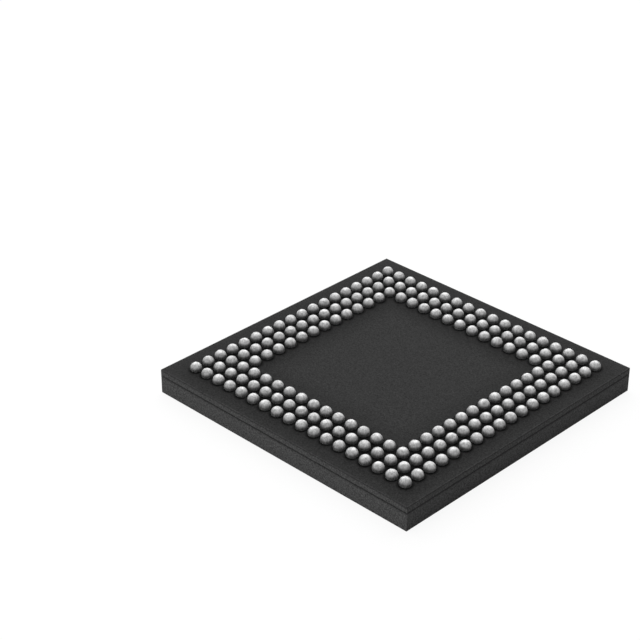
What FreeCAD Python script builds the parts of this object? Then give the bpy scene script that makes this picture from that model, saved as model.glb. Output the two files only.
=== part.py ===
import FreeCAD, Part
import math
import os
import Sketcher

# A ball grid array chip package, lying on its mould cap with the solder balls up.
# Millimetres, +Z up. The origin is the centre of the cap's flat face, which the part rests on.
# Layers from the bottom: mould cap, die-side mask, core, ball-side mask, solder balls.

# Driving dimensions: name, value, what it is.
SIZES = [
    ("ball_pitch", 0.5, "centre to centre of neighbouring balls"),
    ("ball_columns", 18, "balls along each side of the square array"),
    ("ring_rows", 3, "rows of balls in the ring"),
    ("edge_margin", 0.75, "outermost ball centres to the package edge"),
    ("ball_diameter", 0.37, "solder ball after reflow"),
    ("ball_standoff", 0.24, "ball tip above the ball-side face"),
    ("cap_thickness", 0.575, "moulded epoxy cap"),
    ("core_thickness", 0.155, "glass-epoxy core of the substrate"),
    ("mask_thickness", 0.035, "solder mask on each side of the core"),
    ("copper_thickness", 0.018, "copper foil on each side of the core"),
    ("land_overlap", 0.03, "ball land under the edge of its mask opening"),
    ("via_diameter", 0.07, "copper-filled via"),
    ("via_pad_diameter", 0.12, "pad on the die side of a via"),
    ("trace_width", 0.03, "trace from a via pad to its bond finger"),
    ("finger_width", 0.07, "bond finger, across"),
    ("finger_length", 0.12, "bond finger, along"),
    ("finger_setback", 0.23, "innermost ball centres to the fingers' inner ends"),
    ("die_side", 4.4, "square silicon die"),
    ("die_thickness", 0.2, "silicon die"),
    ("bond_line", 0.02, "die attach between the mask's face and the die"),
    ("attach_margin", 0.06, "die attach beyond the die's edge"),
    ("flag_margin", 0.08, "copper under the die beyond the die attach"),
    ("strap_width", 0.04, "copper strap from the flag to a corner patch"),
    ("pad_inset", 0.08, "wire's foot to the die's edge"),
    ("pad_end_margin", 0.15, "last wire's foot to the die's corner"),
    ("wire_diameter", 0.025, "gold bond wire"),
    ("loop_height", 0.13, "wire's loop above the die's face"),
    ("wire_drop", 0.06, "upright end of a wire on its finger"),
    ("wire_bend", 0.05, "radius of a wire's bends"),
]

SHEET_ROWS = "ABCDEFGHJKLMNPRTUV"
SIDES = ["left", "front", "right", "back"]
QUARTER_TURN = 90.0

# Places that several pieces share, as expressions on the sheet.
HALF_ARRAY = "((sizes.ball_columns - 1) * sizes.ball_pitch / 2)"
PACKAGE_SIDE = f"(2 * ({HALF_ARRAY} + sizes.edge_margin))"
INNER_COLUMN = f"({HALF_ARRAY} - (sizes.ring_rows - 1) * sizes.ball_pitch)"
LANE_PITCH = "(sizes.ball_pitch / sizes.ring_rows)"
SIGNAL_ROWS = "(sizes.ball_columns - 2 * sizes.ring_rows)"
CORE_BOTTOM = "(sizes.cap_thickness + sizes.mask_thickness)"
CORE_TOP = f"({CORE_BOTTOM} + sizes.core_thickness)"
COPPER_BOTTOM = f"({CORE_BOTTOM} - sizes.copper_thickness)"
DIE_BACK = "(sizes.cap_thickness - sizes.bond_line)"
DIE_FACE = f"({DIE_BACK} - sizes.die_thickness)"
ATTACH_SIDE = "(sizes.die_side + 2 * sizes.attach_margin)"
STEM_HEIGHT = "(sizes.mask_thickness - sizes.copper_thickness)"
CENTRE_HEIGHT = f"({STEM_HEIGHT} + sizes.ball_standoff - sizes.ball_diameter / 2)"
OPENING_RADIUS = "sqrt((sizes.ball_diameter / 2)^2 - (sizes.ball_standoff - sizes.ball_diameter / 2)^2)"

doc = FreeCAD.newDocument("ball_grid_array_package")
sheet = doc.addObject("Spreadsheet::Sheet", "sizes")
for row, (alias, value, note) in enumerate(SIZES, start=1):
    sheet.set(f"A{row}", note)
    sheet.set(f"B{row}", str(value))
    sheet.setAlias(f"B{row}", alias)
doc.recompute()


def size(alias):
    """One driving dimension, as a number."""
    return float(sheet.get(alias))


def count(alias):
    """One driving count, as a whole number."""
    return int(round(size(alias)))


def bind(thing, expressions):
    """Tie properties of a document object to expressions on the sheet."""
    for name, expression in expressions.items():
        thing.setExpression(name, expression)
    return thing


def add_body(label, expressions=None):
    """A new body, placed by expressions."""
    body = doc.addObject("PartDesign::Body", label)
    return bind(body, expressions or {})


def origin_feature(body, role):
    """One of the body's own origin planes or axes."""
    return next(item for item in body.Origin.OriginFeatures if item.Role == role)


def add_block(body, name, length, width, height, x, y, z="0"):
    """An upright block in a body, by its sizes and its lowest corner."""
    return bind(body.newObject("PartDesign::AdditiveBox", name), {
        "Length": length,
        "Width": width,
        "Height": height,
        "Placement.Base.x": x,
        "Placement.Base.y": y,
        "Placement.Base.z": z,
    })


def add_disc(body, name, diameter, height, x, y, z="0"):
    """A round disc in a body, by its sizes and its centre."""
    return bind(body.newObject("PartDesign::AdditiveCylinder", name), {
        "Radius": f"{diameter} / 2",
        "Height": height,
        "Placement.Base.x": x,
        "Placement.Base.y": y,
        "Placement.Base.z": z,
    })


def linear_step(body, name, axis, pitch, copies):
    """A straight run of copies along one of the body's axes."""
    pattern = body.newObject("PartDesign::LinearPattern", name)
    pattern.Direction = (origin_feature(body, axis), [""])
    return bind(pattern, {"Length": f"{pitch} * (({copies}) - 1)", "Occurrences": copies})


def quarter_turns(body, name):
    """Four copies, a quarter turn apart about the package's centre."""
    pattern = body.newObject("PartDesign::PolarPattern", name)
    pattern.Axis = (origin_feature(body, "Z_Axis"), [""])
    pattern.Angle = 360
    pattern.Occurrences = len(SIDES)
    return pattern


def repeat(body, originals, steps):
    """Repeat features by several patterns in turn, as the body's last feature."""
    pattern = body.newObject("PartDesign::MultiTransform", "array")
    pattern.Originals = originals
    pattern.Transformations = steps
    body.Tip = pattern
    return pattern


def add_slab(label, side, height, bottom):
    """A square layer, centred on the package."""
    return bind(doc.addObject("Part::Box", label), {
        "Length": side,
        "Width": side,
        "Height": height,
        "Placement.Base.x": f"-{side} / 2",
        "Placement.Base.y": f"-{side} / 2",
        "Placement.Base.z": bottom,
    })


def bare(shape):
    """A copy of a shape without the names of its faces and edges, which slow down large cuts."""
    plain = Part.Shape()
    plain.importBrepFromString(shape.exportBrepToString())
    return plain


def solids_of(pieces):
    """The plain solids of several pieces."""
    return [bare(solid) for piece in pieces for solid in piece.Shape.Solids]


def add_layer(label, blank, *fillings):
    """A layer: its blank with the room for each group of pieces cut out in turn.

    Hundreds of solids are cut out, so the layer keeps the finished shape and not the cuts' history.
    """
    doc.recompute()
    shape = bare(blank.Shape)
    for pieces in fillings:
        shape = bare(shape.cut(solids_of(pieces)))
    layer = doc.addObject("Part::Feature", label)
    layer.Shape = shape
    return layer


def draw_ball_profile(body):
    """Half the outline of a solder ball: its stem in the mask opening, then its round part."""
    sketch = body.newObject("Sketcher::SketchObject", "ball_profile")
    sketch.AttachmentSupport = [(origin_feature(body, "XZ_Plane"), "")]
    sketch.MapMode = "FlatFace"
    radius = size("ball_diameter") / 2
    stem = size("mask_thickness") - size("copper_thickness")
    rise = size("ball_standoff") - radius
    neck = math.sqrt(radius**2 - rise**2)
    foot = FreeCAD.Vector(0, 0, 0)
    foot_edge = FreeCAD.Vector(neck, 0, 0)
    neck_edge = FreeCAD.Vector(neck, stem, 0)
    middle = FreeCAD.Vector(0, stem + rise, 0)
    tip = FreeCAD.Vector(0, stem + rise + radius, 0)
    circle = Part.Circle(middle, FreeCAD.Vector(0, 0, 1), radius)
    base_line = sketch.addGeometry(Part.LineSegment(foot, foot_edge))
    stem_line = sketch.addGeometry(Part.LineSegment(foot_edge, neck_edge))
    round_part = sketch.addGeometry(Part.ArcOfCircle(circle, math.atan2(-rise, neck), math.pi / 2))
    axis_line = sketch.addGeometry(Part.LineSegment(tip, foot))
    start, end, centre = 1, 2, 3
    x_axis, y_axis = -1, -2
    loop = [base_line, stem_line, round_part, axis_line]
    for edge, following in zip(loop, loop[1:] + loop[:1]):
        sketch.addConstraint(Sketcher.Constraint("Coincident", edge, end, following, start))
    sketch.addConstraint(Sketcher.Constraint("Coincident", base_line, start, x_axis, start))
    sketch.addConstraint(Sketcher.Constraint("Horizontal", base_line))
    sketch.addConstraint(Sketcher.Constraint("Vertical", stem_line))
    sketch.addConstraint(Sketcher.Constraint("PointOnObject", round_part, centre, y_axis))
    sketch.addConstraint(Sketcher.Constraint("PointOnObject", round_part, end, y_axis))
    sizes_drawn = {
        "ball_radius": (Sketcher.Constraint("Radius", round_part, radius), "sizes.ball_diameter / 2"),
        "stem_height": (Sketcher.Constraint("DistanceY", stem_line, start, stem_line, end, stem), STEM_HEIGHT),
        "centre_height": (
            Sketcher.Constraint("DistanceY", x_axis, start, round_part, centre, stem + rise),
            CENTRE_HEIGHT,
        ),
    }
    for name, (constraint, expression) in sizes_drawn.items():
        index = sketch.addConstraint(constraint)
        sketch.renameConstraint(index, name)
        sketch.setExpression(f"Constraints.{name}", expression)
    return sketch


def make_ball_row(index):
    """One row of solder balls: a whole row, or one group at each end where the middle is empty."""
    body = add_body(f"solder_balls_{SHEET_ROWS[index].lower()}", {
        "Placement.Base.x": f"-{HALF_ARRAY}",
        "Placement.Base.y": f"{HALF_ARRAY} - {index} * sizes.ball_pitch",
        "Placement.Base.z": f"{CORE_TOP} + sizes.copper_thickness",
    })
    ball = body.newObject("PartDesign::Revolution", "ball")
    ball.Profile = draw_ball_profile(body)
    ball.ReferenceAxis = (ball.Profile[0], ["V_Axis"])
    ball.Angle = 360
    columns = count("ball_columns")
    rows = count("ring_rows")
    array = body.newObject("PartDesign::MultiTransform", "array")
    array.Originals = [ball]
    if rows <= index < columns - rows:
        array.Transformations = [
            linear_step(body, "group", "X_Axis", "sizes.ball_pitch", "sizes.ring_rows"),
            linear_step(
                body, "both_ends", "X_Axis",
                "(sizes.ball_columns - sizes.ring_rows) * sizes.ball_pitch", "2",
            ),
        ]
    else:
        array.Transformations = [
            linear_step(body, "row", "X_Axis", "sizes.ball_pitch", "sizes.ball_columns"),
        ]
    body.Tip = array
    return body


def ring_steps(body):
    """Repeat one place of the ring of balls: three across, then along one side, then round the package."""
    rows = "sizes.ring_rows"
    along = "(sizes.ball_columns - sizes.ring_rows)"
    return [
        linear_step(body, "across", "X_Axis", "sizes.ball_pitch", rows),
        linear_step(body, "along", "Y_Axis", "sizes.ball_pitch", along),
        quarter_turns(body, "round_package"),
    ]


def make_ball_lands():
    """Copper lands under the balls, a little wider than the openings in the mask."""
    body = add_body("ball_lands", {"Placement.Base.z": CORE_TOP})
    diameter = f"(2 * ({OPENING_RADIUS} + sizes.land_overlap))"
    land = add_disc(
        body, "land", diameter, "sizes.copper_thickness", f"-{HALF_ARRAY}", f"-{HALF_ARRAY}",
    )
    repeat(body, [land], ring_steps(body))
    return body


def lane_offset(lane):
    """Sideways place of a column's trace, so that no trace meets another column's via."""
    return f"({lane} - (sizes.ring_rows - 1) / 2) * {LANE_PITCH}"


def column_place(lane):
    """Place of a column of balls along X, counted from the outermost one."""
    return f"-({HALF_ARRAY} - {lane} * sizes.ball_pitch)"


def make_vias():
    """Filled vias through the core: one under each land, in its column's lane."""
    body = add_body("vias", {"Placement.Base.z": CORE_BOTTOM})
    vias = [
        add_disc(
            body, f"via_{lane}", "sizes.via_diameter", "sizes.core_thickness",
            column_place(lane), f"-{HALF_ARRAY} + {lane_offset(lane)}",
        )
        for lane in range(count("ring_rows"))
    ]
    along = "(sizes.ball_columns - sizes.ring_rows)"
    repeat(body, vias, [
        linear_step(body, "along", "Y_Axis", "sizes.ball_pitch", along),
        quarter_turns(body, "round_package"),
    ])
    return body


def make_bond_fingers(index):
    """One side's bond fingers, each in one piece with its trace and via pad.

    A finger is plated up through its opening in the mask, flush with the mask's face.
    """
    body = add_body(f"bond_fingers_{SIDES[index]}", {"Placement.Base.z": "sizes.cap_thickness"})
    body.Placement.Rotation = FreeCAD.Rotation(FreeCAD.Vector(0, 0, 1), index * QUARTER_TURN)
    finger_outer = f"-({INNER_COLUMN} - sizes.finger_setback + sizes.finger_length)"
    first_row = f"-({SIGNAL_ROWS} - 1) / 2 * sizes.ball_pitch"
    thickness = "sizes.copper_thickness"
    for lane in range(count("ring_rows")):
        middle = f"{first_row} + {lane_offset(lane)}"
        column = column_place(lane)
        add_block(
            body, f"finger_{lane}", "sizes.finger_length", "sizes.finger_width", "sizes.mask_thickness",
            finger_outer, f"{middle} - sizes.finger_width / 2",
        )
        add_block(
            body, f"trace_{lane}", f"{finger_outer} - ({column}) + sizes.finger_length / 2",
            "sizes.trace_width", thickness, column, f"{middle} - sizes.trace_width / 2", STEM_HEIGHT,
        )
        add_disc(
            body, f"via_pad_{lane}", "sizes.via_pad_diameter", thickness, column, middle, STEM_HEIGHT,
        )
    rows = linear_step(body, "rows", "Y_Axis", "sizes.ball_pitch", SIGNAL_ROWS)
    rows.TransformMode = "Whole shape"
    body.Tip = rows
    return body


def make_ground_plane():
    """Copper flag under the die, with straps to a patch over the ground vias of each corner."""
    body = add_body("ground_plane", {"Placement.Base.z": COPPER_BOTTOM})
    thickness = "sizes.copper_thickness"
    flag_side = f"({ATTACH_SIDE} + 2 * sizes.flag_margin)"
    patch_outer = f"({HALF_ARRAY} + {LANE_PITCH} + sizes.via_pad_diameter / 2)"
    patch_inner = f"({INNER_COLUMN} - sizes.via_pad_diameter / 2)"
    patch_side = f"({patch_outer} - {patch_inner})"
    add_block(
        body, "flag", flag_side, flag_side, thickness, f"-{flag_side} / 2", f"-{flag_side} / 2",
    )
    reach = f"({patch_inner} * sqrt(2) + sizes.strap_width)"
    near = f"(sizes.strap_width / 2 - {reach}) * sqrt(1 / 2)"
    far = f"(sizes.strap_width / 2 + {reach}) * sqrt(1 / 2)"
    for name, angle, x, y in (("rising", 45, near, f"-{far}"), ("falling", 135, far, near)):
        strap = add_block(
            body, f"strap_{name}", f"2 * {reach}", "sizes.strap_width", thickness, x, y,
        )
        strap.Placement.Rotation = FreeCAD.Rotation(FreeCAD.Vector(0, 0, 1), angle)
    for name, x, y in (
        ("left_front", f"-{patch_outer}", f"-{patch_outer}"),
        ("right_front", patch_inner, f"-{patch_outer}"),
        ("right_back", patch_inner, patch_inner),
        ("left_back", f"-{patch_outer}", patch_inner),
    ):
        add_block(body, f"patch_{name}", patch_side, patch_side, thickness, x, y)
    return body


def make_core(vias):
    """Glass-epoxy core, drilled for the vias."""
    blank = add_slab("core_blank", PACKAGE_SIDE, "sizes.core_thickness", CORE_BOTTOM)
    return add_layer("substrate_core", blank, [vias])


def make_ball_side_mask(lands, ball_rows):
    """Solder mask over the core's ball side, open where the balls stand on their lands."""
    blank = add_slab("ball_mask_blank", PACKAGE_SIDE, "sizes.mask_thickness", CORE_TOP)
    return add_layer("ball_side_mask", blank, [lands], ball_rows)


def make_die_side_mask(copper, attach):
    """Solder mask over the core's die side, open at the bond fingers and under the die attach."""
    blank = add_slab("die_mask_blank", PACKAGE_SIDE, "sizes.mask_thickness", "sizes.cap_thickness")
    return add_layer("die_side_mask", blank, [attach], copper)


def make_mould_cap(die, attach, wires):
    """Moulded cap, closed round the die, its attach and the wires."""
    blank = add_slab("cap_blank", PACKAGE_SIDE, "sizes.cap_thickness", "0")
    return add_layer("mould_cap", blank, [attach], [die], wires)


def bond_wire(foot, finger, loop_top, bend, radius):
    """One round wire: up from the die, over, down its slope and upright onto the finger."""
    drop_top = FreeCAD.Vector(finger.x, finger.y, finger.z - size("wire_drop"))
    corners = [FreeCAD.Vector(foot.x, foot.y, loop_top), drop_top]
    points = [foot, *corners, finger]
    edges = []
    start = foot
    for before, corner, after in zip(points, corners, points[2:]):
        arriving = (corner - before).normalize()
        leaving = (after - corner).normalize()
        half_turn = arriving.getAngle(leaving) / 2
        setback = bend * math.tan(half_turn)
        inward = (leaving - arriving).normalize()
        arc_start = corner - arriving * setback
        arc_end = corner + leaving * setback
        arc_middle = corner + inward * (bend / math.cos(half_turn) - bend)
        edges += [
            Part.LineSegment(start, arc_start).toShape(),
            Part.Arc(arc_start, arc_middle, arc_end).toShape(),
        ]
        start = arc_end
    edges.append(Part.LineSegment(start, finger).toShape())
    section = Part.Circle(foot, corners[0] - foot, radius).toShape()
    return Part.Wire(edges).makePipeShell([Part.Wire([section])], True, False)


def make_bond_wires(index):
    """One side's bond wires. Each spans its own angle, because the fingers lie wider than the pads."""
    half_array = (count("ball_columns") - 1) * size("ball_pitch") / 2
    inner_column = half_array - (count("ring_rows") - 1) * size("ball_pitch")
    lane_pitch = size("ball_pitch") / count("ring_rows")
    wires = count("ring_rows") * (count("ball_columns") - 2 * count("ring_rows"))
    finger_middle = inner_column - size("finger_setback") + size("finger_length") / 2
    finger_face = size("cap_thickness")
    die_face = size("cap_thickness") - size("bond_line") - size("die_thickness")
    die_edge = size("die_side") / 2
    pad_pitch = 2 * (die_edge - size("pad_end_margin")) / (wires - 1)
    shapes = []
    for wire in range(wires):
        place = wire - (wires - 1) / 2
        foot = FreeCAD.Vector(-(die_edge - size("pad_inset")), place * pad_pitch, die_face)
        finger = FreeCAD.Vector(-finger_middle, place * lane_pitch, finger_face)
        loop_top = die_face - size("loop_height")
        shapes.append(bond_wire(foot, finger, loop_top, size("wire_bend"), size("wire_diameter") / 2))
    piece = doc.addObject("Part::Feature", f"bond_wires_{SIDES[index]}")
    piece.Shape = Part.makeCompound(shapes)
    turn = FreeCAD.Rotation(FreeCAD.Vector(0, 0, 1), index * QUARTER_TURN)
    piece.Placement = FreeCAD.Placement(FreeCAD.Vector(0, 0, 0), turn)
    return piece


def check_document():
    """Stop if any object of the document failed to build."""
    for thing in doc.Objects:
        if "Invalid" in thing.State or "Error" in thing.State:
            raise RuntimeError(f"{thing.Label} failed: {thing.State}")


def build():
    """Every piece of the package, in the order of the layers."""
    sides = range(len(SIDES))
    ball_rows = [make_ball_row(index) for index in range(count("ball_columns"))]
    lands = make_ball_lands()
    vias = make_vias()
    fingers = [make_bond_fingers(index) for index in sides]
    ground = make_ground_plane()
    die = add_slab("silicon_die", "sizes.die_side", "sizes.die_thickness", DIE_FACE)
    attach = add_slab("die_attach", ATTACH_SIDE, f"{COPPER_BOTTOM} - {DIE_BACK}", DIE_BACK)
    wires = [make_bond_wires(index) for index in sides]
    pieces = [
        make_mould_cap(die, attach, wires),
        make_die_side_mask([*fingers, ground], attach),
        make_core(vias),
        make_ball_side_mask(lands, ball_rows),
        *ball_rows, lands, vias, *fingers, ground, die, attach, *wires,
    ]
    doc.recompute()
    check_document()
    return pieces


def export(pieces):
    """Check each piece's shape and write it to its own file."""
    for piece in pieces:
        if piece.Shape.isNull() or not piece.Shape.isValid():
            raise RuntimeError(f"{piece.Label} has no valid shape")
    os.makedirs("parts", exist_ok=True)
    for piece in pieces:
        piece.Shape.exportStep(f"parts/{piece.Label}.step")
        print(piece.Label, len(piece.Shape.Solids), round(piece.Shape.Volume, 6))


export(build())
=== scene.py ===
"""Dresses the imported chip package: charcoal mould and solder mask, and smooth matte solder balls."""

import enum
import logging
import math
from dataclasses import dataclass
from typing import Any, Sequence, Union

import bpy
import numpy as np
from mathutils import Matrix, Vector


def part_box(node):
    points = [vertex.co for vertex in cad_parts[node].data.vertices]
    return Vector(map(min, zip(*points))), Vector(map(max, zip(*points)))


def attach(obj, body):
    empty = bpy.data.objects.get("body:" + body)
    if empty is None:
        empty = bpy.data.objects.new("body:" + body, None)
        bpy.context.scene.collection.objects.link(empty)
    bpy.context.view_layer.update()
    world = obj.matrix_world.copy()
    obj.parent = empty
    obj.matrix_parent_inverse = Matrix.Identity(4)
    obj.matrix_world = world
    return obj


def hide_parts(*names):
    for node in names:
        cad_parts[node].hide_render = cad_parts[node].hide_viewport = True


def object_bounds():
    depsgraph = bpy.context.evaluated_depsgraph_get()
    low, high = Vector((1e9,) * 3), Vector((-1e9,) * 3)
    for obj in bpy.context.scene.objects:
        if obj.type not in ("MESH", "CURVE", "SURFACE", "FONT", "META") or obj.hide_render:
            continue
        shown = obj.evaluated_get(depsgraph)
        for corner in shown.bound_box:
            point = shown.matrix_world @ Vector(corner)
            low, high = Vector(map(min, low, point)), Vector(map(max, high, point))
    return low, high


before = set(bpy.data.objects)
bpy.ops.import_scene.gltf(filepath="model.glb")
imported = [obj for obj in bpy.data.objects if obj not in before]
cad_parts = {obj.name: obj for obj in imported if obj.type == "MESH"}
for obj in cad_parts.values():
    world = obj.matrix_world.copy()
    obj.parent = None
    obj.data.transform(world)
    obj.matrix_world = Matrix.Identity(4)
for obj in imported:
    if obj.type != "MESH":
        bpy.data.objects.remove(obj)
CAD_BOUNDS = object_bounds()
LOG = logging.getLogger("chip_package")

MM = 0.001
BODY = "root"
HALF_SIDE_MM = CAD_BOUNDS[1][0] / MM
Colour = tuple[float, float, float]
Operand = Union["Signal", float]
BLACK: Colour = (0.0, 0.0, 0.0)
WHITE: Colour = (1.0, 1.0, 1.0)
OPAQUE = 1.0

# The colour sockets of a Mix node, which hides others under the same names.
MIX_FIRST = 6
MIX_SECOND = 7
MIX_RESULT = 2


class Side(enum.Enum):
    """The four sides of the package, as the names of its nodes give them."""

    LEFT = "left"
    FRONT = "front"
    RIGHT = "right"
    BACK = "back"


class Signal:
    """A number that a shader works out. Operators on it add the Math nodes that it needs."""

    def __init__(self, graph: "NodeGraph", socket: bpy.types.NodeSocket) -> None:
        """Wraps an output socket of a graph."""
        self.graph = graph
        self.socket = socket

    def _math(self, operation: str, *operands: Operand) -> "Signal":
        """Adds one Math node.

        Args:
            operation: Blender's name of the operation.
            operands: The signals and numbers that it works on, in order.

        Returns:
            The node's result.
        """
        node = self.graph.node("ShaderNodeMath", {"operation": operation}, dict(enumerate(operands)))
        return Signal(self.graph, node.outputs[0])

    def __add__(self, other: Operand) -> "Signal":
        """Sum."""
        return self._math("ADD", self, other)

    def __radd__(self, other: Operand) -> "Signal":
        """Sum with a number on the left."""
        return self._math("ADD", other, self)

    def __sub__(self, other: Operand) -> "Signal":
        """Difference."""
        return self._math("SUBTRACT", self, other)

    def __rsub__(self, other: Operand) -> "Signal":
        """Difference from a number on the left."""
        return self._math("SUBTRACT", other, self)

    def __mul__(self, other: Operand) -> "Signal":
        """Product."""
        return self._math("MULTIPLY", self, other)

    def __rmul__(self, other: Operand) -> "Signal":
        """Product with a number on the left."""
        return self._math("MULTIPLY", other, self)

    def __truediv__(self, other: Operand) -> "Signal":
        """Quotient."""
        return self._math("DIVIDE", self, other)

    def __abs__(self) -> "Signal":
        """Distance from zero."""
        return self._math("ABSOLUTE", self)

    def above(self, other: Operand) -> "Signal":
        """The larger of the two."""
        return self._math("MAXIMUM", self, other)

    def below(self, other: Operand) -> "Signal":
        """The smaller of the two."""
        return self._math("MINIMUM", self, other)

    def rounded(self) -> "Signal":
        """The nearest whole number."""
        return self._math("ROUND", self)

    def root(self) -> "Signal":
        """Square root."""
        return self._math("SQRT", self)

    def ramp(self, low: float, high: float) -> "Signal":
        """Rises smoothly from 0 at low to 1 at high."""
        node = self.graph.node(
            "ShaderNodeMapRange", {"interpolation_type": "SMOOTHSTEP"}, {0: self, 1: low, 2: high}
        )
        return Signal(self.graph, node.outputs[0])

    def dip(self, centre: float, half_width: float) -> "Signal":
        """1 at a centre, and 0 from half_width away from it."""
        return 1 - abs(self - centre).ramp(0.0, half_width)

    def swing(self) -> "Signal":
        """A noise of 0 to 1 as a swing of -1 to 1 about its mean."""
        return 2 * self - 1

    def towards(self, other: "Signal", share: float) -> "Signal":
        """This value with a share of it given over to another."""
        return self * (1 - share) + other * share


class NodeGraph:
    """A node tree, emptied first, whose nodes all come from one method."""

    def __init__(self, tree: bpy.types.NodeTree) -> None:
        """Empties the tree."""
        self.tree = tree
        tree.nodes.clear()

    def node(
        self,
        kind: str,
        settings: dict[str, Any] | None = None,
        sockets: dict[Any, Any] | None = None,
    ) -> bpy.types.Node:
        """Adds a node.

        Args:
            kind: Blender's type of node.
            settings: Properties of the node, set first.
            sockets: Input sockets by name or number, each with a value, a socket or a signal.

        Returns:
            The node.
        """
        node = self.tree.nodes.new(kind)
        for name, value in (settings or {}).items():
            setattr(node, name, value)
        for key, value in (sockets or {}).items():
            if isinstance(value, Signal):
                value = value.socket
            if isinstance(value, bpy.types.NodeSocket):
                self.tree.links.new(value, node.inputs[key])
            else:
                node.inputs[key].default_value = value
        return node

    def seen_rays(self) -> Signal:
        """1 for the camera's rays and those seen in gloss or glass, 0 for rays that light things."""
        path = self.node("ShaderNodeLightPath")
        camera, glossy, through = (
            Signal(self, path.outputs[f"Is {kind} Ray"]) for kind in ("Camera", "Glossy", "Transmission")
        )
        return camera.above(glossy).above(through)


class SurfaceGraph(NodeGraph):
    """One material's node tree, with the Principled shader that its maths feeds."""

    def __init__(self, name: str) -> None:
        """Starts a material with its shader and output alone."""
        self.material = bpy.data.materials.new(name)
        self.material.use_nodes = True
        super().__init__(self.material.node_tree)
        self.shader = self.node("ShaderNodeBsdfPrincipled")
        self.output = self.node("ShaderNodeOutputMaterial", {}, {"Surface": self.shader.outputs[0]})
        self.place = self.node("ShaderNodeTexCoord").outputs["Object"]

    def axes(self) -> list[Signal]:
        """The three Object coordinates of the surface, in millimetres."""
        parts = self.node("ShaderNodeSeparateXYZ", {}, {0: self.place})
        return [Signal(self, output) / MM for output in parts.outputs]

    def stretched(self, scale: Sequence[float]) -> bpy.types.NodeSocket:
        """Object coordinates, multiplied along each axis."""
        node = self.node("ShaderNodeVectorMath", {"operation": "MULTIPLY"}, {0: self.place, 1: scale})
        return node.outputs[0]

    def grain(
        self,
        size_mm: float,
        detail: float = 2.0,
        roughness: float = 0.5,
        stretch: Sequence[float] = (1, 1, 1),
    ) -> Signal:
        """Soft cloudy noise.

        Args:
            size_mm: Size of its largest features.
            detail: Octaves of finer noise.
            roughness: Weight of the finer octaves.
            stretch: How much finer the noise is along each axis.

        Returns:
            A value about 0.5.
        """
        node = self.node(
            "ShaderNodeTexNoise",
            {"noise_dimensions": "3D"},
            {
                "Vector": self.stretched(stretch),
                "Scale": 1 / (size_mm * MM),
                "Detail": detail,
                "Roughness": roughness,
            },
        )
        return Signal(self, node.outputs[0])

    def cells(self, size_mm: float) -> Signal:
        """Distance to the nearest of scattered points, size_mm apart, over size_mm."""
        node = self.node(
            "ShaderNodeTexVoronoi",
            {"feature": "F1"},
            {"Vector": self.place, "Scale": 1 / (size_mm * MM)},
        )
        return Signal(self, node.outputs[0])

    def blend(self, factor: Signal, first: Colour, second: Colour) -> bpy.types.NodeSocket:
        """A colour between two, by a factor."""
        node = self.node(
            "ShaderNodeMix",
            {"data_type": "RGBA"},
            {"Factor": factor, MIX_FIRST: (*first, OPAQUE), MIX_SECOND: (*second, OPAQUE)},
        )
        return node.outputs[MIX_RESULT]

    def paint(
        self, colour: bpy.types.NodeSocket, roughness: Signal | float, metallic: float = 0.0
    ) -> None:
        """Feeds colour and gloss to the shader.

        Args:
            colour: A colour that varies over the surface.
            roughness: A signal, or one number for the whole surface.
            metallic: Share of the surface that is bare metal.
        """
        self.tree.links.new(colour, self.shader.inputs["Base Color"])
        if isinstance(roughness, Signal):
            self.tree.links.new(roughness.socket, self.shader.inputs["Roughness"])
        else:
            self.shader.inputs["Roughness"].default_value = roughness
        self.shader.inputs["Metallic"].default_value = metallic

    def emboss(self, height: Signal, depth_mm: float) -> None:
        """Tilts the surface's normal as a relief of the given depth would."""
        bump = self.node("ShaderNodeBump", {}, {"Distance": depth_mm * MM, "Height": height})
        self.tree.links.new(bump.outputs[0], self.shader.inputs["Normal"])


@dataclass(frozen=True)
class Line:
    """A thin dark line round the package's sides, at a height.

    Attributes:
        height_mm: Height of its middle.
        half_width_mm: From its middle to where it fades out.
        depth: Share of the light that it takes away.
    """

    height_mm: float
    half_width_mm: float
    depth: float


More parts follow.
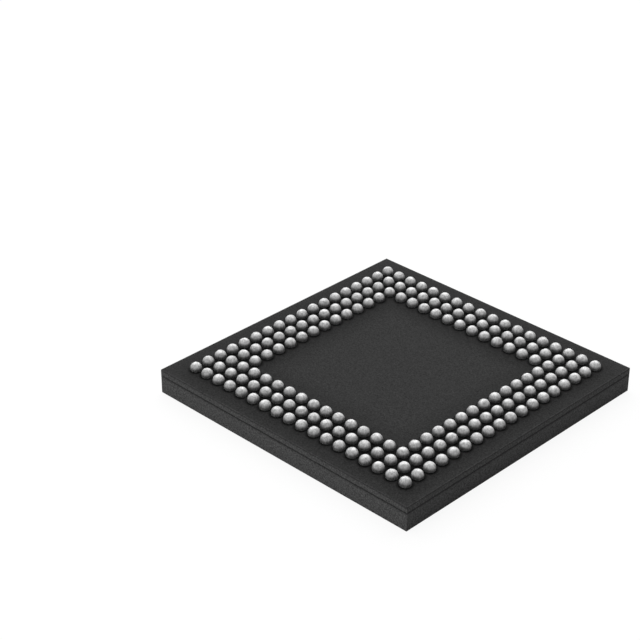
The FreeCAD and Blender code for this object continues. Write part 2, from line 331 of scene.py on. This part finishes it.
@dataclass(frozen=True)
class PaintedBallShade:
    """Painted shade, which darkens the mask round the balls and fills the lanes between them, where
    their shade falls.

    Attributes:
        pitch_mm: Centre to centre of neighbouring balls.
        first: Distance from a middle line to the nearest ball's place, in pitches.
        outer: Number of the ball's place furthest from the middle, where the nearest is 0.
        inner: Number of the ring's innermost place.
        foot_mm: Distance from a ball's centre at which the painted shade starts to fade.
        reach_mm: Distance at which it ends.
        depth: Share of the light that it takes away.
        far_shade_reach_mm: Distance at which the fainter painted shade beyond it ends.
        far_shade_depth: Share of the light that the fainter painted shade takes away where it starts.
    """

    pitch_mm: float = 0.5
    first: float = 0.5
    outer: float = 8.0
    inner: float = 6.0
    foot_mm: float = 0.20
    reach_mm: float = 0.33
    depth: float = 0.8
    far_shade_reach_mm: float = 1.2
    far_shade_depth: float = 0.26

    def factor(self, x: Signal, y: Signal) -> Signal:
        """Works out how much of the tone is left.

        By symmetry a place is folded to its larger and its smaller distance from the middle lines. The
        nearest ball along each is the rounded place number, held inside the ring. The painted shade is
        full in the ring's band, and fades with the distance to the nearest ball outside it. The fainter
        painted shade further out counts where it is deeper.

        Args:
            x: Place across, in millimetres.
            y: Place along, in millimetres.

        Returns:
            1 on mask out of the painted shade, less where shade is painted.
        """
        far = abs(x).above(abs(y)) / self.pitch_mm - self.first
        near = abs(x).below(abs(y)) / self.pitch_mm - self.first
        far_gap = far - far.rounded().above(self.inner).below(self.outer)
        near_gap = near - near.rounded().above(0.0).below(self.outer)
        distance = (far_gap * far_gap + near_gap * near_gap).root() * self.pitch_mm
        near_shade = 1 - distance.ramp(self.foot_mm, self.reach_mm)
        fade = (self.reach_mm - self.foot_mm) / self.pitch_mm
        band = far.ramp(self.inner - fade, self.inner) * (1 - far.ramp(self.outer, self.outer + fade))
        far_shade = 1 - distance.ramp(self.foot_mm, self.far_shade_reach_mm)
        return 1 - (self.depth * near_shade.above(band)).above(self.far_shade_depth * far_shade)


@dataclass(frozen=True)
class CharcoalFinish:
    """Matte charcoal resin with a felt-like grain, as on the mould cap, the masks and the sawn core.

    Attributes:
        name: Name of the material.
        tone: Its mean shade, as a share of white.
        headroom: How many times its mean the tone can rise to.
        contrast: Share of the tone by which the grain lightens and darkens it.
        grain_mm: Size of the grain.
        speck_mm: Size of the finer specks in it.
        roughness: Mean roughness.
        gloss_swing: How far the roughness swings with the grain.
        shine: Strength of its reflections, where a half is usual for resin.
        relief_mm: Depth of the grain.
        speck_share: Share of that depth that is the specks.
        lines: Dark lines round the sides.
        weave: Share of the tone by which glass fibres streak it.
        fibre_stretch: How much finer the streaks are along each axis.
        painted_edge_highlight: Share of the tone by which the outer edge is painted lighter, as a
            painted highlight.
        painted_edge_highlight_mm: Width of that edge.
        painted_ball_shade: Painted shade round the balls and between them, where there is some.
    """

    name: str
    tone: float = 0.067
    headroom: float = 2.0
    contrast: float = 0.85
    grain_mm: float = 0.065
    speck_mm: float = 0.035
    roughness: float = 0.7
    gloss_swing: float = 0.1
    shine: float = 0.02
    relief_mm: float = 0.003
    speck_share: float = 0.4
    lines: tuple[Line, ...] = ()
    weave: float = 0.0
    fibre_stretch: tuple[float, float, float] = (0.12, 0.12, 2.6)
    painted_edge_highlight: float = 0.0
    painted_edge_highlight_mm: float = 0.02
    painted_ball_shade: PaintedBallShade | None = None

    def material(self) -> bpy.types.Material:
        """Builds the material.

        The tone is the mean tone times one plus contrast times the swings of grain and specks. The
        streaks and the painted edge highlight multiply it, and so do the painted shade round the balls
        and the lines, which only take away. A mix's factor stops at 1, so it carries the tone over the
        headroom, and the paler colour has it back.

        Returns:
            The material.
        """
        graph = SurfaceGraph(self.name)
        grain = graph.grain(self.grain_mm, detail=2.0, roughness=0.6)
        specks = graph.grain(self.speck_mm, detail=1.0)
        tone = 1 + self.contrast * (grain.swing() + specks.swing())
        x, y, z = graph.axes()
        if self.weave:
            fibres = graph.grain(self.grain_mm, detail=2.0, stretch=self.fibre_stretch)
            tone = tone * (1 + self.weave * fibres.swing())
        # Painted highlight: the outer edge is lighter, as where an edge catches the light.
        if self.painted_edge_highlight:
            edge = HALF_SIDE_MM - self.painted_edge_highlight_mm
            tone = tone * (1 + self.painted_edge_highlight * abs(x).above(abs(y)).ramp(edge - self.painted_edge_highlight_mm, edge))
        # Painted shade round the balls and in the lanes between them.
        if self.painted_ball_shade:
            tone = tone * self.painted_ball_shade.factor(x, y)
        for line in self.lines:
            tone = tone * (1 - line.depth * z.dip(line.height_mm, line.half_width_mm))
        palest = self.tone * self.headroom
        graph.paint(
            graph.blend(tone / self.headroom, BLACK, (palest, palest, palest)),
            self.roughness + self.gloss_swing * grain.swing(),
        )
        graph.shader.inputs["Specular IOR Level"].default_value = self.shine
        graph.emboss(grain.towards(specks, self.speck_share), self.relief_mm)
        return graph.material


@dataclass(frozen=True)
class SolderFinish:
    """Dull reflowed solder: pale grey metal with soft clouds, fine crystals and painted shade at its
    foot.

    Attributes:
        name: Name of the material.
        pale: Its lightest shade, as a share of white.
        dull: Its darkest shade, above the tarnish.
        mottle_mm: Size of the soft clouds in it.
        crystal_mm: Size of the crystals.
        crystal_stretch: How much finer the crystals are along each axis.
        crystal_share: Share of the shade's pattern that is the crystals.
        pattern_range: Values of the pattern at which it is darkest and lightest.
        roughness: Mean roughness.
        gloss_swing: How far the roughness swings with the crystals.
        metallic: Share of it that is bare metal.
        relief_mm: Depth of the crystals.
        mottle_relief: Share of that depth that is the clouds.
        painted_foot_shade: Share of the shade that painted shade takes away at the foot.
        painted_foot_shade_mm: Heights above the mask where the painted shade starts to fade and where it
            ends.
    """

    name: str
    pale: float = 0.475
    dull: float = 0.24
    mottle_mm: float = 0.11
    crystal_mm: float = 0.035
    crystal_stretch: tuple[float, float, float] = (1.0, 1.0, 0.3)
    crystal_share: float = 0.5
    pattern_range: tuple[float, float] = (0.36, 0.64)
    roughness: float = 0.54
    gloss_swing: float = 0.1
    metallic: float = 0.75
    relief_mm: float = 0.006
    mottle_relief: float = 0.3
    painted_foot_shade: float = 0.46
    painted_foot_shade_mm: tuple[float, float] = (0.07, 0.165)

    def material(self, foot_mm: float) -> bpy.types.Material:
        """Builds the material.

        The shade runs between dull and pale with a pattern of clouds and crystals, less the painted
        shade at the foot.

        Args:
            foot_mm: Height of the mask's face.

        Returns:
            The material.
        """
        graph = SurfaceGraph(self.name)
        mottle = graph.grain(self.mottle_mm, detail=2.0)
        crystals = graph.grain(
            self.crystal_mm, detail=2.0, roughness=0.6, stretch=self.crystal_stretch
        )
        pattern = mottle.towards(crystals, self.crystal_share).ramp(*self.pattern_range)
        # Painted shade: each ball is darker towards its foot, as where shade falls near the mask.
        low, high = self.painted_foot_shade_mm
        _, _, z = graph.axes()
        unshaded = z.ramp(foot_mm + low, foot_mm + high)
        shade = (self.dull + (self.pale - self.dull) * pattern) * (1 - self.painted_foot_shade * (1 - unshaded))
        graph.paint(
            graph.blend(shade, BLACK, WHITE),
            self.roughness + self.gloss_swing * crystals.swing(),
            self.metallic,
        )
        graph.emboss(crystals.towards(mottle, self.mottle_relief), self.relief_mm)
        return graph.material


@dataclass(frozen=True)
class MetalFinish:
    """Plated or drawn metal with a fine directional grain.

    Attributes:
        name: Name of the material.
        bright: Its colour where the grain stands up.
        dull: Its colour between.
        grain_mm: Size of the grain.
        stretch: How much finer the grain is along each axis.
        grain_range: Values of the grain at which the metal is dull and bright.
        roughness: Mean roughness.
        gloss_swing: How far the roughness swings with the grain.
        relief_mm: Depth of the grain.
    """

    name: str
    bright: Colour
    dull: Colour
    grain_mm: float = 0.03
    stretch: tuple[float, float, float] = (1.0, 1.0, 1.0)
    grain_range: tuple[float, float] = (0.3, 0.7)
    roughness: float = 0.34
    gloss_swing: float = 0.125
    relief_mm: float = 0.002

    def material(self) -> bpy.types.Material:
        """Builds the material, whose colour and gloss follow one noise.

        Returns:
            The material.
        """
        graph = SurfaceGraph(self.name)
        grain = graph.grain(self.grain_mm, detail=3.0, roughness=0.6, stretch=self.stretch)
        graph.paint(
            graph.blend(grain.ramp(*self.grain_range), self.dull, self.bright),
            self.roughness + self.gloss_swing * grain.swing(),
            metallic=1.0,
        )
        graph.emboss(grain, self.relief_mm)
        return graph.material


@dataclass(frozen=True)
class SiliconFinish:
    """Polished silicon: blue-grey, with faint blocks of circuitry and a bare scribed border.

    Attributes:
        name: Name of the material.
        half_side_mm: From the die's middle to its edge.
        border_mm: Width of the border.
        block_mm: Size of the blocks.
        block_scatter: How far the blocks leave a regular grid, where 1 is fully.
        block_range: Distances from a block's middle, over block_mm, at which its shade starts and ends.
        fine_mm: Size of the fine pattern in the blocks.
        fine_share: Share of the shade that is that pattern.
        silicon: Colour of the bare silicon.
        circuit: Colour of the circuitry.
        roughness: Mean roughness.
        gloss_swing: How far the roughness swings with the fine pattern.
        metallic: Share of it that reflects as metal does.
        relief_mm: Depth of the fine pattern.
    """

    name: str
    half_side_mm: float
    border_mm: float = 0.06
    block_mm: float = 0.62
    block_scatter: float = 0.8
    block_range: tuple[float, float] = (0.1, 0.6)
    fine_mm: float = 0.03
    fine_share: float = 0.2
    silicon: Colour = (0.10, 0.11, 0.14)
    circuit: Colour = (0.20, 0.19, 0.24)
    roughness: float = 0.21
    gloss_swing: float = 0.05
    metallic: float = 0.35
    relief_mm: float = 0.0005

    def material(self) -> bpy.types.Material:
        """Builds the material.

        Blocks are the cells of a Voronoi pattern with straight sides, drawn inside the border alone.

        Returns:
            The material.
        """
        graph = SurfaceGraph(self.name)
        x, y, _ = graph.axes()
        blocks = graph.node(
            "ShaderNodeTexVoronoi",
            {"feature": "F1", "distance": "CHEBYCHEV"},
            {
                "Vector": graph.stretched((1, 1, 0)),
                "Scale": 1 / (self.block_mm * MM),
                "Randomness": self.block_scatter,
            },
        )
        fine = graph.grain(self.fine_mm, detail=2.0)
        inside = 1 - abs(x).above(abs(y)).ramp(self.half_side_mm - self.border_mm, self.half_side_mm)
        block = Signal(graph, blocks.outputs[0]).ramp(*self.block_range)
        shade = block.towards(fine, self.fine_share) * inside
        graph.paint(
            graph.blend(shade, self.silicon, self.circuit),
            self.roughness + self.gloss_swing * fine.swing(),
            self.metallic,
        )
        graph.emboss(fine, self.relief_mm)
        return graph.material


@dataclass(frozen=True)
class SilverEpoxyFinish:
    """Grey adhesive crowded with silver flakes.

    Attributes:
        name: Name of the material.
        resin: Colour of the adhesive.
        flake: Colour of the flakes.
        flake_mm: Size of the flakes.
        flake_range: Distances from a flake's middle, over flake_mm, at which it starts to fade and ends.
        resin_roughness: Roughness of the adhesive.
        flake_roughness: Roughness of the flakes.
        metallic: Share of it that is bare metal.
        relief_mm: Height of the flakes.
    """

    name: str
    resin: Colour = (0.34, 0.33, 0.31)
    flake: Colour = (0.66, 0.65, 0.62)
    flake_mm: float = 0.02
    flake_range: tuple[float, float] = (0.15, 0.6)
    resin_roughness: float = 0.5
    flake_roughness: float = 0.3
    metallic: float = 0.4
    relief_mm: float = 0.002

    def material(self) -> bpy.types.Material:
        """Builds the material, whose flakes are the cores of scattered cells.

        Returns:
            The material.
        """
        graph = SurfaceGraph(self.name)
        flakes = 1 - graph.cells(self.flake_mm).ramp(*self.flake_range)
        graph.paint(
            graph.blend(flakes, self.resin, self.flake),
            self.resin_roughness - (self.resin_roughness - self.flake_roughness) * flakes,
            self.metallic,
        )
        graph.emboss(flakes, self.relief_mm)
        return graph.material


def wear(node: str, material: bpy.types.Material) -> None:
    """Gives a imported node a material, in every slot that it has.

    Args:
        node: Name of the node.
        material: The material.
    """
    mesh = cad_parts[node].data
    if not mesh.materials:
        mesh.materials.append(material)
    for index in range(len(mesh.materials)):
        mesh.materials[index] = material
    LOG.info("%s: %s", node, material.name)


def grid_faces(rings: int, segments: int) -> np.ndarray:
    """Quads between neighbouring rings of a closed tube.

    Face (i, j) joins vertices (i, j), (i, j + 1), (i + 1, j + 1) and (i + 1, j), and j wraps round.

    Args:
        rings: Rings of vertices.
        segments: Vertices in each ring.

    Returns:
        An array of quads, counter-clockwise from outside where the rings rise.
    """
    ring, step = np.meshgrid(np.arange(rings - 1), np.arange(segments), indexing="ij")
    ahead = (step + 1) % segments
    corners = [ring * segments + step, ring * segments + ahead]
    corners += [(ring + 1) * segments + ahead, (ring + 1) * segments + step]
    return np.stack(corners, axis=-1).reshape(-1, 4)


@dataclass
class SolderBalls:
    """The ring of solder balls, one piece for each row of the array.

    Attributes:
        pitch: Centre to centre of neighbouring balls.
        radius: Radius of a ball.
        standoff: Tip of a ball above the mask's face.
        columns: Balls along one side of the array.
        ring_rows: Rows of balls in the ring.
        stem: Depth of a ball's stem in the mask's opening.
        segments: Vertices round a ball.
        rings: Rings of vertices on the round part.
        row_letters: Letters of the rows, from the back to the front.
        finish: What the balls are made of.
    """

    pitch: float = 0.5 * MM
    radius: float = 0.185 * MM
    standoff: float = 0.24 * MM
    columns: int = 18
    ring_rows: int = 3
    stem: float = 0.017 * MM
    segments: int = 16
    rings: int = 7
    row_letters: str = "abcdefghjklmnprtuv"
    finish: SolderFinish = SolderFinish("reflowed_solder")

    def profile(self) -> tuple[np.ndarray, np.ndarray]:
        """Radius and height of a ball's rings above the mask's face.

        The round part is radius times the cosine and sine of an angle that runs from the neck, where
        the ball meets the mask, almost to the tip. The stem goes straight down from the neck.

        Returns:
            The rings' radii and heights, from the foot up. The tip itself isn't in them.
        """
        rise = self.standoff - self.radius
        neck = -math.asin(rise / self.radius)
        tip_gap = (math.pi / 2 - neck) / self.rings
        angles = np.linspace(neck, math.pi / 2 - tip_gap, self.rings)
        radii = self.radius * np.cos(angles)
        heights = rise + self.radius * np.sin(angles)
        return np.append(radii[0], radii), np.append(-self.stem, heights)

    def ball(self) -> tuple[np.ndarray, np.ndarray, np.ndarray]:
        """One ball about the middle of its opening.

        Vertex (i, j) is (r_i cos a_j, r_i sin a_j, h_i), with a_j once round. A vertex at the foot's
        middle and one at the tip close the surface.

        Returns:
            Vertices, quads and triangles.
        """
        radii, heights = self.profile()
        turn = np.arange(self.segments) * (2 * math.pi / self.segments)
        ring_x = radii[:, None] * np.cos(turn)
        ring_y = radii[:, None] * np.sin(turn)
        ring_z = np.broadcast_to(heights[:, None], ring_x.shape)
        tube = np.stack([ring_x, ring_y, ring_z], axis=-1).reshape(-1, 3)
        foot, tip = len(tube), len(tube) + 1
        vertices = np.vstack([tube, [[0.0, 0.0, heights[0]], [0.0, 0.0, self.standoff]]])
        quads = grid_faces(len(radii), self.segments)
        step = np.arange(self.segments)
        ahead = (step + 1) % self.segments
        last = (len(radii) - 1) * self.segments
        bottom = np.stack([ahead, step, np.full_like(step, foot)], axis=-1)
        top = np.stack([last + step, last + ahead, np.full_like(step, tip)], axis=-1)
        return vertices, quads, np.vstack([bottom, top])

    def places(self, row: int) -> np.ndarray:
        """Centres of one row's balls, in the plane of the mask's face.

        Args:
            row: Row number, from the back.

        Returns:
            One x and y for each ball. Rows in the middle have balls near both ends alone.
        """
        index = np.arange(self.columns)
        middle = (self.columns - 1) / 2
        if self.ring_rows <= row < self.columns - self.ring_rows:
            index = index[(index < self.ring_rows) | (index >= self.columns - self.ring_rows)]
        x = (index - middle) * self.pitch
        return np.stack([x, np.full_like(x, (middle - row) * self.pitch)], axis=-1)

    def row_mesh(self, name: str, row: int, face_height: float) -> bpy.types.Object:
        """One row of balls as one smooth mesh.

        Every ball is the same ball, moved to its place: all rows of vertices are added at once.

        Args:
            name: Name of the piece.
            row: Row number, from the back.
            face_height: Height of the mask's face.

        Returns:
            The piece.
        """
        vertices, quads, triangles = self.ball()
        places = self.places(row)
        shift = np.column_stack([places, np.full(len(places), face_height)])
        points = (vertices[None, :, :] + shift[:, None, :]).reshape(-1, 3)
        first = (np.arange(len(places)) * len(vertices))[:, None, None]
        faces = (quads + first).reshape(-1, 4).tolist() + (triangles + first).reshape(-1, 3).tolist()
        mesh = bpy.data.meshes.new(name)
        mesh.from_pydata(points.tolist(), [], faces)
        mesh.polygons.foreach_set("use_smooth", np.ones(len(mesh.polygons), dtype=bool))
        mesh.update()
        piece = bpy.data.objects.new(name, mesh)
        bpy.context.scene.collection.objects.link(piece)
        return piece

    def build(self) -> list[bpy.types.Object]:
        """Builds every row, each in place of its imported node.

        Returns:
            The pieces, from the back row to the front one.
        """
        _, mask_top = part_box("ball_side_mask")
        material = self.finish.material(mask_top[2] / MM)
        pieces = []
        for row, letter in enumerate(self.row_letters):
            piece = self.row_mesh(f"ball_row_{letter}", row, mask_top[2])
            piece.data.materials.append(material)
            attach(piece, BODY)
            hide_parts(f"solder_balls_{letter}")
            LOG.info("%s: %d faces", piece.name, len(piece.data.polygons))
            pieces.append(piece)
        return pieces


@dataclass
class Shell:
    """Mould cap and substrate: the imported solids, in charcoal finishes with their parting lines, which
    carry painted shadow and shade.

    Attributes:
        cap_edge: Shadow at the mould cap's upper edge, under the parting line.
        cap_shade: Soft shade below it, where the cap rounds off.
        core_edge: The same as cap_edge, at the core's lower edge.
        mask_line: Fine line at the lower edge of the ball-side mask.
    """

    cap_edge: Line = Line(height_mm=0.575, half_width_mm=0.020, depth=0.6)
    cap_shade: Line = Line(height_mm=0.560, half_width_mm=0.070, depth=0.2)
    core_edge: Line = Line(height_mm=0.610, half_width_mm=0.012, depth=0.4)
    mask_line: Line = Line(height_mm=0.752, half_width_mm=0.026, depth=0.16)

    def dress(self) -> None:
        """Gives each of the four layers its material."""
        finishes = {
            "mould_cap": CharcoalFinish("moulding_compound", lines=(self.cap_edge, self.cap_shade)),
            "die_side_mask": CharcoalFinish("die_side_resist", tone=0.026),
            "substrate_core": CharcoalFinish(
                "glass_epoxy_edge", tone=0.0625, lines=(self.core_edge, self.mask_line), weave=0.25
            ),
            "ball_side_mask": CharcoalFinish(
                "ball_side_resist",
                tone=0.0248,
                roughness=0.66,
                lines=(self.mask_line,),
                # Painted highlight along the outer edge.
                painted_edge_highlight=0.5,
                # Painted shade round the balls, standing in for the shade that they cast on the mask.
                painted_ball_shade=PaintedBallShade(),
            ),
        }
        for node, finish in finishes.items():
            wear(node, finish.material())


@dataclass
class Inside:
    """Die, wires and copper: sealed in, and dressed as the real ones are.

    Attributes:
        copper: Foil of the lands, the fingers and the ground plane, with a grain along its rolling.
        gold: Drawn wire.
        filled_via: Plated copper, with a grain along the via.
    """

    copper: MetalFinish = MetalFinish(
        "etched_copper", bright=(0.86, 0.46, 0.30), dull=(0.58, 0.27, 0.16), stretch=(0.3, 1.0, 1.0)
    )
    gold: MetalFinish = MetalFinish(
        "gold_wire", bright=(1.0, 0.76, 0.33), dull=(0.80, 0.55, 0.18), grain_mm=0.012, roughness=0.22
    )
    filled_via: MetalFinish = MetalFinish(
        "plated_copper", bright=(0.80, 0.42, 0.27), dull=(0.50, 0.22, 0.13), stretch=(1.0, 1.0, 0.3)
    )

    def dress(self) -> None:
        """Gives every inner node its material."""
        low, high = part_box("silicon_die")
        half_side_mm = (high[0] - low[0]) / 2 / MM
        wear("silicon_die", SiliconFinish("polished_silicon", half_side_mm).material())
        wear("die_attach", SilverEpoxyFinish("silver_epoxy").material())
        wear("vias", self.filled_via.material())
        copper = self.copper.material()
        gold = self.gold.material()
        for node in ("ball_lands", "ground_plane"):
            wear(node, copper)
        for side in Side:
            wear(f"bond_fingers_{side.value}", copper)
            wear(f"bond_wires_{side.value}", gold)


@dataclass
class Studio:
    """White ground, soft light from above and the camera of the photograph.

    Attributes:
        azimuth: Camera's bearing, in degrees: 0 looks along +Y.
        elevation: Camera's height above the horizon, in degrees.
        distance: From the ball side's middle to the camera, along the view.
        aside: From the view's axis to that middle, to the right.
        below: From the view's axis to that middle, downwards.
        lens_mm: Focal length on a 36 mm sensor.
        near_clip: Distance from the camera at which the view starts.
        lamp_side: From the object to the lamp overhead.
        lamp_strength: The lamp's strength, where pi lights a facing surface fully.
        lamp_spread: The lamp's width as seen from the object, in degrees.
        sky_light: Brightness of the sky as a light, where 1 is white.
        side_light: What a soft patch on the left adds to it, at its middle.
        side: From the object to the middle of that patch.
        floor_side: Side of the floor.
        floor_cells: Cells of its mesh along a side.
        floor_white: Shade of the floor where it takes shade and shadow.
        floor_roughness: Roughness of the floor.
        floor_glow: Share of the floor's look that is plain white. The rest takes shade and shadow.
        floor_bounce: Share of the light that the floor throws back at the object.
    """

    azimuth: float = 44.63
    elevation: float = 30.0
    distance: float = 53.66 * MM
    aside: float = 2.28 * MM
    below: float = 1.47 * MM
    lens_mm: float = 100.14
    near_clip: float = 1 * MM
    lamp_side: tuple[float, float, float] = (-0.49, 0.50, 0.71)
    lamp_strength: float = 3.85
    lamp_spread: float = 85.0
    sky_light: float = 0.14
    side_light: float = 1.6
    side: tuple[float, float, float] = (-0.41, -0.91, 0.10)
    floor_side: float = 1.2
    floor_cells: int = 8
    floor_white: float = 0.9
    floor_roughness: float = 0.9
    floor_glow: float = 0.9
    floor_bounce: float = 0.70

    def camera(self) -> None:
        """Places the camera: its axes come from the bearing and the elevation."""
        turn = math.radians(self.azimuth)
        rise = math.radians(self.elevation)
        right = Vector((math.cos(turn), math.sin(turn), 0.0))
        ahead = Vector(
            (-math.sin(turn) * math.cos(rise), math.cos(turn) * math.cos(rise), -math.sin(rise))
        )
        down = ahead.cross(right)
        _, mask_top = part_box("ball_side_mask")
        middle = Vector((0.0, 0.0, mask_top[2]))
        place = middle - ahead * self.distance - right * self.aside - down * self.below
        data = bpy.data.cameras.new("camera")
        data.lens = self.lens_mm
        data.clip_start = self.near_clip
        camera = bpy.data.objects.new("camera", data)
        axes = Matrix((right, -down, -ahead)).transposed().to_4x4()
        camera.matrix_world = Matrix.Translation(place) @ axes
        bpy.context.scene.collection.objects.link(camera)
        bpy.context.scene.camera = camera

    def lamp(self) -> None:
        """Adds the broad, soft lamp overhead, turned so that it shines from its side."""
        data = bpy.data.lights.new("overhead", "SUN")
        data.energy = self.lamp_strength
        data.angle = math.radians(self.lamp_spread)
        lamp = bpy.data.objects.new("overhead", data)
        lamp.rotation_mode = "QUATERNION"
        lamp.rotation_quaternion = Vector(self.lamp_side).to_track_quat("Z", "Y")
        bpy.context.scene.collection.objects.link(lamp)

    def sky(self) -> None:
        """Sky: dim as a light, and white where the camera or a reflection sees it.

        As a light it is sky_light, plus side_light times the square of the direction's share towards
        the side.
        """
        world = bpy.data.worlds.new("sky")
        bpy.context.scene.world = world
        world.use_nodes = True
        graph = NodeGraph(world.node_tree)
        direction = graph.node("ShaderNodeTexCoord").outputs["Generated"]
        dot = graph.node(
            "ShaderNodeVectorMath", {"operation": "DOT_PRODUCT"}, {0: direction, 1: self.side}
        )
        share = Signal(graph, dot.outputs["Value"]).above(0.0)
        light = self.sky_light + self.side_light * share * share
        strength = light + (1 - light) * graph.seen_rays()
        glow = graph.node(
            "ShaderNodeBackground", {}, {"Color": (*WHITE, OPAQUE), "Strength": strength}
        )
        graph.node("ShaderNodeOutputWorld", {}, {"Surface": glow.outputs[0]})

    def floor(self) -> None:
        """White floor: mostly its own white to the camera, so that only a light shadow stays on it.

        It is a flat grid. Cell (i, j) joins corners (i, j), (i + 1, j), (i + 1, j + 1) and (i, j + 1).
        """
        half = self.floor_side / 2
        across = self.floor_cells + 1
        steps = np.linspace(-half, half, across)
        x, y = np.meshgrid(steps, steps, indexing="ij")
        points = np.stack([x, y, np.zeros_like(x)], axis=-1).reshape(-1, 3)
        cells = np.arange(self.floor_cells)
        row, column = np.meshgrid(cells, cells, indexing="ij")
        corner = row * across + column
        faces = np.stack([corner, corner + across, corner + across + 1, corner + 1], axis=-1)
        faces = faces.reshape(-1, 4)
        mesh = bpy.data.meshes.new("floor")
        mesh.from_pydata(points.tolist(), [], faces.tolist())
        mesh.update()
        floor = bpy.data.objects.new("floor", mesh)
        bpy.context.scene.collection.objects.link(floor)
        graph = SurfaceGraph("white_ground")
        glow = graph.node("ShaderNodeEmission", {}, {"Color": (*WHITE, OPAQUE), "Strength": 1.0})
        seen = graph.seen_rays()
        bounced: Colour = (self.floor_bounce, self.floor_bounce, self.floor_bounce)
        shown: Colour = (self.floor_white, self.floor_white, self.floor_white)
        graph.paint(graph.blend(seen, bounced, shown), self.floor_roughness)
        mixed = graph.node(
            "ShaderNodeMixShader",
            {},
            {0: self.floor_glow * seen, 1: graph.shader.outputs[0], 2: glow.outputs[0]},
        )
        graph.tree.links.new(mixed.outputs[0], graph.output.inputs["Surface"])
        mesh.materials.append(graph.material)

    def build(self) -> None:
        """Sets up the camera, the lamp, the sky and the floor."""
        self.camera()
        self.lamp()
        self.sky()
        self.floor()
        bpy.context.scene.view_settings.view_transform = "Standard"
        LOG.info("studio: camera, lamp, sky and floor")


def main() -> None:
    """Builds the studio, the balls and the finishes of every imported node."""
    logging.basicConfig(level=logging.INFO, format="%(message)s")
    Studio().build()
    Shell().dress()
    Inside().dress()
    pieces = SolderBalls().build()
    LOG.info("%d rows of balls", len(pieces))


if __name__ == "__main__":
    main()
